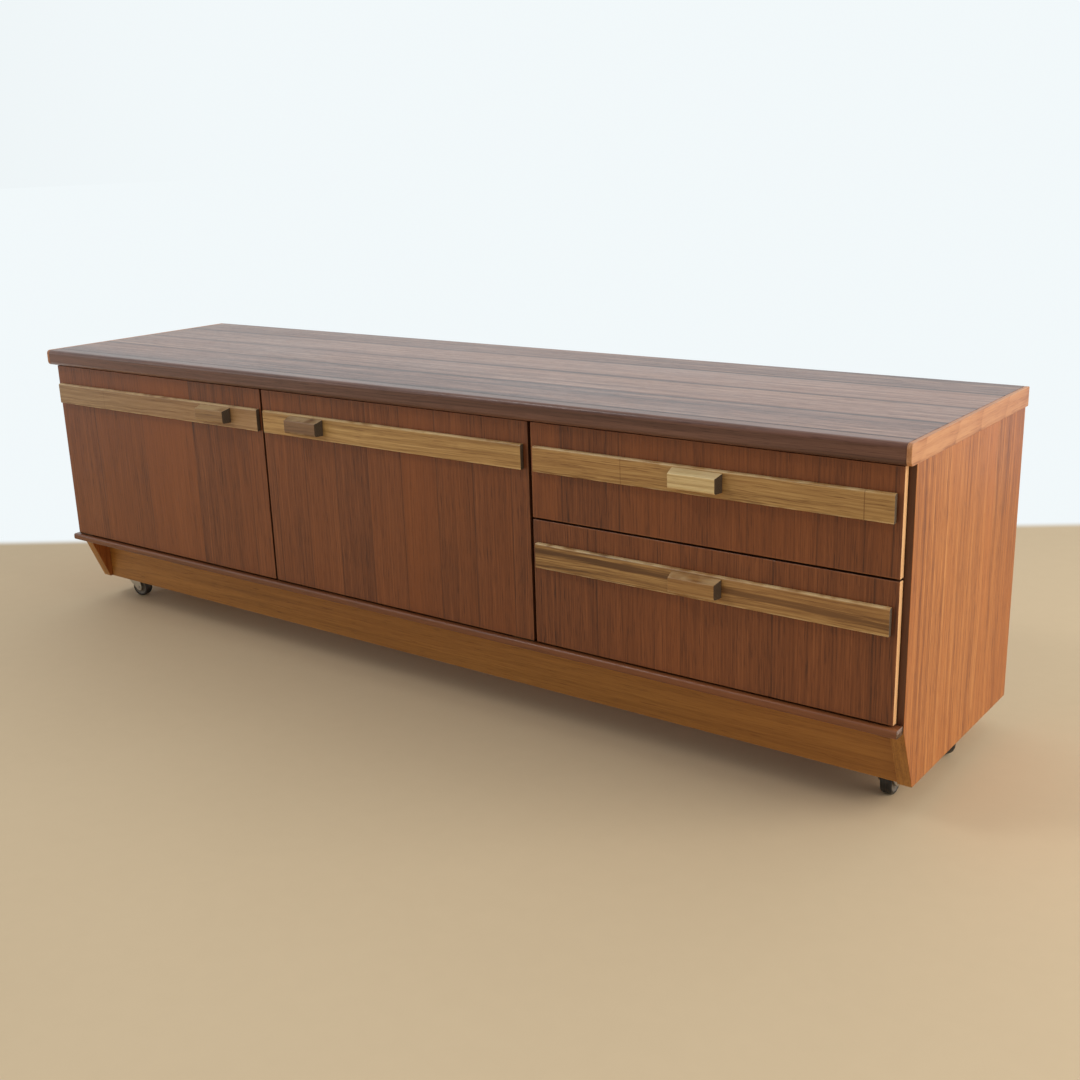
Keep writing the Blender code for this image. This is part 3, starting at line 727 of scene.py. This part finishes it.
def makeStrip(name, plan):
    low, high = boxOf(name + "_strip")
    wood = makeWood(
        name + "_stripTeak", plan["stripTones"], "X", "Z",
        broad=1.1, fibre=0.9, hairs=0.14, wander=0.03, ripple=0.004, bands=1.6,
        seed=plan["stripSeed"], warmTone=rgb(190, 132, 74), warmth=0.4,
        figure={"tilt": 0.035, "depth": 0.006, "spacing": 0.0045},
        # paler top and bottom arrises of the strip: painted highlight of the bevels catching the
        # light
        worn={
            "axes": (2,), "low": low, "high": high,
            "width": stripSizes["wornWidth"], "amount": 0.6, "tone": rgb(240, 212, 158),
        },
        **plan["strip"],
    )
    bm = blockMesh(low, high)
    middle = (low + high) / 2
    upper = longEdges(bm, "X", y=("<", middle.y), z=(">", middle.z))
    soften(bm, upper, stripSizes["topBevel"], stripSizes["topSteps"])
    lower = longEdges(bm, "X", y=("<", low.y + edgeReach), z=("<", low.z + edgeReach))
    soften(bm, lower, stripSizes["footBevel"])
    soften(bm, sharpEdges(bm), stripSizes["arris"], stripSizes["arrisSteps"])
    woods = [wood, stripEnd]
    finishPiece(name + "_stripFine", bm, woods, name, [name + "_strip"], endsApart)


def makeHandle(name, plan):
    low, high = boxOf(name + "_handle")
    wood = makeWood(
        name + "_handleTeak", plan["handleTones"], "X", "Z",
        broad=0.9, fibre=0.7, ring=0.22, hairs=0.14, bands=2.2,
        seed=plan["handleSeed"], rough=(0.32, 0.44), warmth=0.3,
        figure={"depth": 0.004, "spacing": 0.004},
        # a pale line along the grip's top front edge: painted highlight
        worn={
            "axes": (2,),
            "low": low + Vector((0, 0, handleSizes["wornAbove"])),
            "high": high - Vector((0, 0, handleSizes["wornBelow"])),
            "width": handleSizes["wornWidth"], "amount": 0.4, "tone": rgb(236, 206, 156),
        },
    )
    bm = blockMesh(low, high)
    middle = (low + high) / 2
    grip = min(bm.faces, key=lambda face: face.calc_center_median().y)
    for v in grip.verts:
        # the grip is narrower and lower than its root, like a shallow wedge
        v.co.x += handleSizes["taper"] if v.co.x < middle.x else -handleSizes["taper"]
        v.co.z -= handleSizes["fall"] if v.co.z > middle.z else 0.0
    lower = longEdges(bm, "X", y=("<", low.y + edgeReach), z=("<", low.z + edgeReach))
    soften(bm, lower, handleSizes["footBevel"], handleSizes["footSteps"])
    soften(bm, sharpEdges(bm), handleSizes["arris"], handleSizes["arrisSteps"])
    woods = [wood, darkEnd]
    finishPiece(name + "_handleFine", bm, woods, name, [name + "_handle"], endsApart)


for name, plan in fronts.items():
    makeFront(name, plan)
    makeStrip(name, plan)
    makeHandle(name, plan)
print("doors and drawer fronts made")


# finishes of the pieces that keep their own shape: carcass, drawer boxes, hardboard, metal
metalLook = {
    "hairAlong": 90.0, "hairAcross": 1400.0, "hairRough": 0.16,
    "spots": 190.0, "tarnish": 0.45, "tarnishRough": 0.25,
}
plasticLook = {"grit": 520.0, "film": 60.0, "dust": 0.35}
boardLook = {"fibre": 240.0, "cloud": 9.0}


def metalFinish(name, colour, rough, stain, brushed="Z"):
    shop = Finish(name, {"Metallic": 1.0})
    places = shop.places()
    stretch = [metalLook["hairAcross"]] * 3
    stretch[axisOf[brushed]] = metalLook["hairAlong"]
    hair = shop.noise(*[place * k for place, k in zip(places, stretch)])
    spots = shop.noise(*[place * metalLook["spots"] for place in places], 3.0)
    tarnish = shop.ease(spots, 0.52, 0.72)
    shop.feed("Base Color", shop.mix(tarnish * metalLook["tarnish"], colour, stain))
    dull = (hair - 0.5) * metalLook["hairRough"] + tarnish * metalLook["tarnishRough"]
    shop.feed("Roughness", rough + dull)
    shop.bump(hair * 0.4 - tarnish * 0.3, 0.15, 0.0002)
    return shop.material


def plasticFinish(name, colour, rough, dust):
    shop = Finish(name, {"IOR": 1.46, "Specular IOR Level": 0.4})
    places = shop.places()
    grit = shop.noise(*[place * plasticLook["grit"] for place in places])
    cloud = shop.noise(*[place * plasticLook["film"] for place in places], 3.0)
    film = shop.ease(cloud, 0.45, 0.75)
    shop.feed("Base Color", shop.mix(film * plasticLook["dust"], colour, dust))
    shop.feed("Roughness", rough + film * 0.2 + (grit - 0.5) * 0.15)
    shop.bump(grit + film * 0.5, 0.25, 0.0003)
    return shop.material


def hardboardFinish(name):
    shop = Finish(name, {"IOR": 1.45, "Specular IOR Level": 0.35})
    places = shop.places()
    fibre = shop.noise(*[place * boardLook["fibre"] for place in places], 4.0, 0.7)
    cloud = shop.noise(*[place * boardLook["cloud"] for place in places], 3.0)
    tone = 0.5 + (fibre - 0.5) * 0.9 + (cloud - 0.5) * 0.7
    shop.feed("Base Color", shop.ramp(toneSets["hardboard"], tone))
    shop.feed("Roughness", 0.62 + (fibre - 0.5) * 0.25)
    shop.bump(fibre, 0.35, 0.0005)
    return shop.material


insideLook = {"leaf": 0.13, "leafTone": 0.12, "broad": 0.9}
boxLook = {"broad": 0.7, "lines": 0.5, "ring": 0.12, "rough": (0.5, 0.6)}
insideFlat = makeWood("insideTeakFlat", "inside", "X", "Y", seed=51.0, **insideLook)
insideTall = makeWood("insideTeakTall", "inside", "Z", "Y", seed=53.0, **insideLook)
rawAcross = makeWood("drawerBeechAcross", "raw", "X", "Z", seed=55.0, **boxLook)
rawAlong = makeWood("drawerBeechAlong", "raw", "Y", "Z", seed=57.0, **boxLook)
hardboard = hardboardFinish("hardboard")
brightSteel = metalFinish("brightSteel", rgb(214, 212, 206), 0.22, rgb(120, 108, 92))
pivotBronze = metalFinish("pivotBronze", rgb(96, 78, 58), 0.38, rgb(58, 46, 36))
castorSteel = metalFinish("castorSteel", rgb(196, 194, 190), 0.30, rgb(110, 96, 80))
pinSteel = metalFinish("panelPinSteel", rgb(150, 146, 140), 0.35, rgb(84, 70, 56), "Y")
catchPlastic = plasticFinish("catchPlastic", rgb(96, 64, 42), 0.42, rgb(150, 126, 104))
wheelPlastic = plasticFinish("wheelPlastic", rgb(44, 42, 40), 0.38, rgb(112, 102, 90))
hubGrey = plasticFinish("wheelHub", rgb(112, 104, 94), 0.40, rgb(140, 128, 112))

corners = ["front_left", "front_right", "rear_left", "rear_right"]
carried = {
    "bottom_panel": insideFlat,
    "cupboard_shelf": insideFlat,
    "drawer_partition": insideTall,
    "back_panel": hardboard,
    "door_catch": catchPlastic,
    "castor_bearer_left": rawAlong,
    "castor_bearer_right": rawAlong,
}
for drawer in ("upper_drawer", "lower_drawer"):
    carried[drawer + "_bottom"] = hardboard
    for part in ("box_front", "back"):
        carried[drawer + "_" + part] = rawAcross
    for part in ("side_left", "side_right", "runner_left", "runner_right"):
        carried[drawer + "_" + part] = rawAlong
for door in ("left_door", "middle_door"):
    carried[door + "_catch_plate"] = brightSteel
    for part in ("upper_pivot", "lower_pivot"):
        carried[door + "_" + part] = pivotBronze
for corner in corners:
    carried["castor_" + corner + "_plate"] = castorSteel
    carried["castor_" + corner + "_fork"] = castorSteel
for node, material in carried.items():
    for slotHeld in frame["nodes"][node].material_slots:
        slotHeld.material = material
print("carried-over pieces finished")


# castor wheels: a dark tread with two grooves and a dished grey hub, turned about its own axle
wheelSizes = {
    "steps": 48,
    "radius": 0.01645,
    "width": 0.0148,
    "axleRadius": 0.0021,
    "hubRadius": 0.0062,
    "hubSet": 0.0002,  # how far the hub's face lies inside the tyre's
    "rounding": 0.0006,
    "dishRadius": 0.0128,
    "dishDepth": 0.0015,
    "dishLip": 0.0005,
    "tyreRound": 0.0022,
    "treadShoulder": [(0.0007, 0.0006), (0.0001, 0.0018)],  # in from the tread, in from the side
    "grooveDepth": 0.0005,
    "groove": [0.0024, 0.0021, 0.0015, 0.0012],  # both walls of one, out from the middle
    "treadFlat": 0.0031,
}
spins = {joint["child"]: joint for joint in frame["joints"]}


def wheelOutline(sizes):
    # (radius, out) from the axle hole round one side, to the middle of the tread and back
    half, rounding, r = sizes["width"] / 2, sizes["rounding"], sizes["radius"]
    hub, dish = sizes["hubRadius"], sizes["dishRadius"]
    floorAt, bed = half - sizes["dishDepth"], r - sizes["grooveDepth"]
    start, down, up, end = sizes["groove"]
    outline = [
        (sizes["axleRadius"], half - sizes["hubSet"]),
        (hub - rounding, half - sizes["hubSet"]),
        (hub, half - sizes["hubSet"] - rounding),
        (hub + rounding, floorAt),
        (dish - rounding, floorAt),
        (dish, half - sizes["dishLip"]),
        (r - sizes["tyreRound"], half),
    ]
    outline += [(r - inward, half - back) for inward, back in sizes["treadShoulder"]]
    outline += [(r, sizes["treadFlat"]), (r, start), (bed, down), (bed, up), (r, end), (r, 0.0)]
    return outline + [(radius, -out) for radius, out in reversed(outline[:-1])]


def makeWheel(corner):
    node = "castor_" + corner + "_wheel"
    centre, axle = Vector(spins[node]["pos_m"]), Vector(spins[node]["axis"]).normalized()
    bm = bmesh.new()
    verts = [
        bm.verts.new(centre + Vector((0, 0, radius)) + axle * out)
        for radius, out in wheelOutline(wheelSizes)
    ]
    edges = [bm.edges.new(pair) for pair in zip(verts, verts[1:] + verts[:1])]
    bmesh.ops.spin(
        bm,
        geom=verts + edges,
        cent=centre,
        axis=axle,
        dvec=(0, 0, 0),
        angle=math.tau,
        steps=wheelSizes["steps"],
        use_merge=True,
        use_duplicate=False,
    )
    bmesh.ops.remove_doubles(bm, verts=bm.verts, dist=1e-7)

    def onHub(face):
        reach = face.calc_center_median() - centre
        out = (reach - axle * reach.dot(axle)).length
        return 1 if out < wheelSizes["dishRadius"] - wheelSizes["rounding"] / 2 else 0

    plastics = [wheelPlastic, hubGrey]
    finishPiece("castorWheel_" + corner, bm, plastics, node, [node], onHub)


for corner in corners:
    makeWheel(corner)
print("castor wheels turned")


# small fixings that show from behind and below
fixings = {
    "pinRadius": 0.0022,
    "pinHeight": 0.0006,
    "pinEvery": 0.14,
    "pinInset": 0.009,
    "screwRadius": 0.0028,
    "screwHeight": 0.0005,
    "screwInset": 0.0045,
    "sunk": 0.00001,  # keeps each head's foot just inside the board or plate
    "sides": 12,
    "dome": [(0.86, 0.55), (0.45, 1.0)],  # each ring's share of the last ring, and of the height
}


def domedHead(bm, centre, normal, radius, height):
    # a low dome: a disc raised in two rings
    made = bmesh.ops.create_circle(bm, cap_ends=True, segments=fixings["sides"], radius=radius)
    turn = Vector((0, 0, 1)).rotation_difference(Vector(normal)).to_matrix()
    verts = made["verts"]
    cap = verts[0].link_faces[0]
    for share, rise in fixings["dome"]:
        grown = bmesh.ops.extrude_face_region(bm, geom=[cap])["geom"]
        ring = [v for v in grown if isinstance(v, bmesh.types.BMVert)]
        cap = next(face for face in grown if isinstance(face, bmesh.types.BMFace))
        bmesh.ops.scale(bm, verts=ring, vec=(share, share, 1.0))
        for v in ring:
            v.co.z = height * rise
        verts = verts + ring
    for v in set(verts):
        v.co = turn @ v.co + Vector(centre)


def spread(low, high, count):
    return [low + (high - low) * i / count for i in range(count + 1)]


low, high = boxOf("back_panel")
bm = bmesh.new()
inset, behind = fixings["pinInset"], high.y - fixings["sunk"]
acrossPins = spread(low.x + inset, high.x - inset, int((high.x - low.x) / fixings["pinEvery"]))
uprightPins = spread(low.z + inset, high.z - inset, 3)
pins = [(x, z) for z in (uprightPins[0], uprightPins[-1]) for x in acrossPins]
pins += [(x, z) for x in (acrossPins[0], acrossPins[-1]) for z in uprightPins[1:-1]]
for x, z in pins:
    domedHead(bm, (x, behind, z), (0, 1, 0), fixings["pinRadius"], fixings["pinHeight"])
finishPiece("backPanelPins", bm, [pinSteel], "case", [])

for corner in corners:
    low, high = boxOf("castor_" + corner + "_plate")
    bm = bmesh.new()
    inset, under = fixings["screwInset"], low.z + fixings["sunk"]
    for x in (low.x + inset, high.x - inset):
        for y in (low.y + inset, high.y - inset):
            radius, height = fixings["screwRadius"], fixings["screwHeight"]
            domedHead(bm, (x, y, under), (0, 0, -1), radius, height)
    finishPiece("castorScrews_" + corner, bm, [pinSteel], "case", [])
print("fixings made")


# floor and sky: the floor gives way to the pale sky colour past a line behind the sideboard
studio = {
    "floorSize": 40.0,
    "floor": rgb(208, 184, 150),
    "floorShade": rgb(184, 160, 128),
    "cloudWaves": 2.0,
    "grainWaves": 40.0,
    "mottle": 0.14,
    "sky": (0.925, 0.982, 1.0),
    "skyBehind": 0.96,
    "skyFront": 0.35,
    "skyTurn": 0.7,  # how far to each side the sky takes to go from one to the other
    "wallTurn": (-0.5649, 0.8252),
    "wallAt": 0.642,
    "wallBlend": 0.05,
}


def floorFinish():
    shop = Finish("studioFloor", {"Specular IOR Level": 0.25, "Roughness": 0.75})
    x, y, _ = shop.places()
    cloud = shop.noise(x * studio["cloudWaves"], y * studio["cloudWaves"], 0.0, 4.0)
    grain = shop.noise(x * studio["grainWaves"], y * studio["grainWaves"], 0.0, 3.0)
    mottle = shop.ease(cloud * 0.7 + grain * 0.3, 0.3, 0.7) * studio["mottle"]
    shop.feed("Base Color", shop.mix(mottle, studio["floor"], studio["floorShade"]))
    shop.bump(cloud + grain * 0.2, 0.05, 0.001)
    behind = x * studio["wallTurn"][0] + y * studio["wallTurn"][1]
    far = shop.ease(behind, studio["wallAt"], studio["wallAt"] + studio["wallBlend"])
    glow = {"Color": (*studio["sky"], 1.0), "Strength": studio["skyBehind"]}
    backdrop = shop.node("Emission", {}, glow)
    near = Wire(shop, shop.shader.outputs[0])
    blend = shop.node("MixShader", {}, {0: far, 1: near, 2: backdrop})
    shop.put(shop.tree.nodes["Material Output"].inputs["Surface"], blend)
    return shop.material


bm = bmesh.new()
bmesh.ops.create_grid(bm, x_segments=2, y_segments=2, size=studio["floorSize"])
floorMesh = bpy.data.meshes.new("studioFloor")
bm.to_mesh(floorMesh)
bm.free()
floorMesh.materials.append(floorFinish())
floor = bpy.data.objects.new("studioFloor", floorMesh)
bpy.context.scene.collection.objects.link(floor)

world = bpy.data.worlds.new("studioSky")
bpy.context.scene.world = world
world.use_nodes = True
skyTree = world.node_tree
skyTree.nodes.clear()
skyPlace = skyTree.nodes.new("ShaderNodeTexCoord")
skyParts = skyTree.nodes.new("ShaderNodeSeparateXYZ")
skyTree.links.new(skyPlace.outputs["Generated"], skyParts.inputs[0])
skyRange = skyTree.nodes.new("ShaderNodeMapRange")
skyRange.interpolation_type = "SMOOTHSTEP"
skyRange.inputs["From Min"].default_value = -studio["skyTurn"]
skyRange.inputs["From Max"].default_value = studio["skyTurn"]
skyRange.inputs["To Min"].default_value = studio["skyFront"]
skyRange.inputs["To Max"].default_value = studio["skyBehind"]
skyTree.links.new(skyParts.outputs[1], skyRange.inputs["Value"])
skyGlow = skyTree.nodes.new("ShaderNodeBackground")
skyGlow.inputs["Color"].default_value = (*studio["sky"], 1.0)
skyTree.links.new(skyRange.outputs[0], skyGlow.inputs["Strength"])
skyOut = skyTree.nodes.new("ShaderNodeOutputWorld")
skyTree.links.new(skyGlow.outputs[0], skyOut.inputs["Surface"])

# soft lights: where each hangs, where it aims, its size, power and tint
softLights = {
    "frontLeftLight": {
        "place": (-3.4, -2.6, 1.2), "aim": (0.0, 0.0, 0.2),
        "size": (2.6, 1.8), "power": 18.0, "tint": (1.0, 0.98, 0.95),
    },
    "upperLeftLight": {
        "place": (-1.15, -1.5, 2.6), "aim": (0.43, -0.18, 0.45),
        "size": (0.75, 0.5), "power": 18.0, "tint": (0.95, 0.98, 1.0),
    },
    "windowLight": {
        "place": (3.1, 0.5, 1.5), "aim": (0.6, 0.0, 0.2),
        "size": (2.4, 1.8), "power": 60.0, "tint": (1.0, 0.97, 0.92),
    },
}
for name, plan in softLights.items():
    lamp = bpy.data.lights.new(name, "AREA")
    lamp.shape = "RECTANGLE"
    lamp.size, lamp.size_y = plan["size"]
    lamp.energy = plan["power"]
    lamp.color = plan["tint"]
    hung = bpy.data.objects.new(name, lamp)
    bpy.context.scene.collection.objects.link(hung)
    hung.location = plan["place"]
    facing = Vector(plan["aim"]) - Vector(plan["place"])
    hung.rotation_euler = facing.to_track_quat("-Z", "Y").to_euler()

# camera: angles in radians, yaw from +Y towards -X, lens and sensor in millimetres
view = {
    "place": (1.2582, -1.47282, 0.75432),
    "yaw": 0.65104,
    "pitch": -0.28742,
    "roll": -0.03142,
    "lens": 44.175,
    "sensor": 36.0,
    "clip": (0.05, 60.0),
}
lensData = bpy.data.cameras.new("viewCamera")
lensData.lens = view["lens"]
lensData.sensor_width = view["sensor"]
lensData.clip_start, lensData.clip_end = view["clip"]
camera = bpy.data.objects.new("viewCamera", lensData)
bpy.context.scene.collection.objects.link(camera)
yaw, pitch, roll = view["yaw"], view["pitch"], view["roll"]
right = Vector((math.cos(yaw), math.sin(yaw), 0.0))
level = Vector((-math.sin(yaw), math.cos(yaw), 0.0))
ahead = math.cos(pitch) * level + Vector((0.0, 0.0, math.sin(pitch)))
above = right.cross(ahead)
rolledRight = math.cos(roll) * right + math.sin(roll) * above
rolledUp = -math.sin(roll) * right + math.cos(roll) * above
turned = Matrix((rolledRight, rolledUp, -ahead)).transposed().to_4x4()
camera.matrix_world = Matrix.Translation(view["place"]) @ turned
bpy.context.scene.camera = camera
bpy.context.scene.view_settings.view_transform = "Standard"
print("studio set")
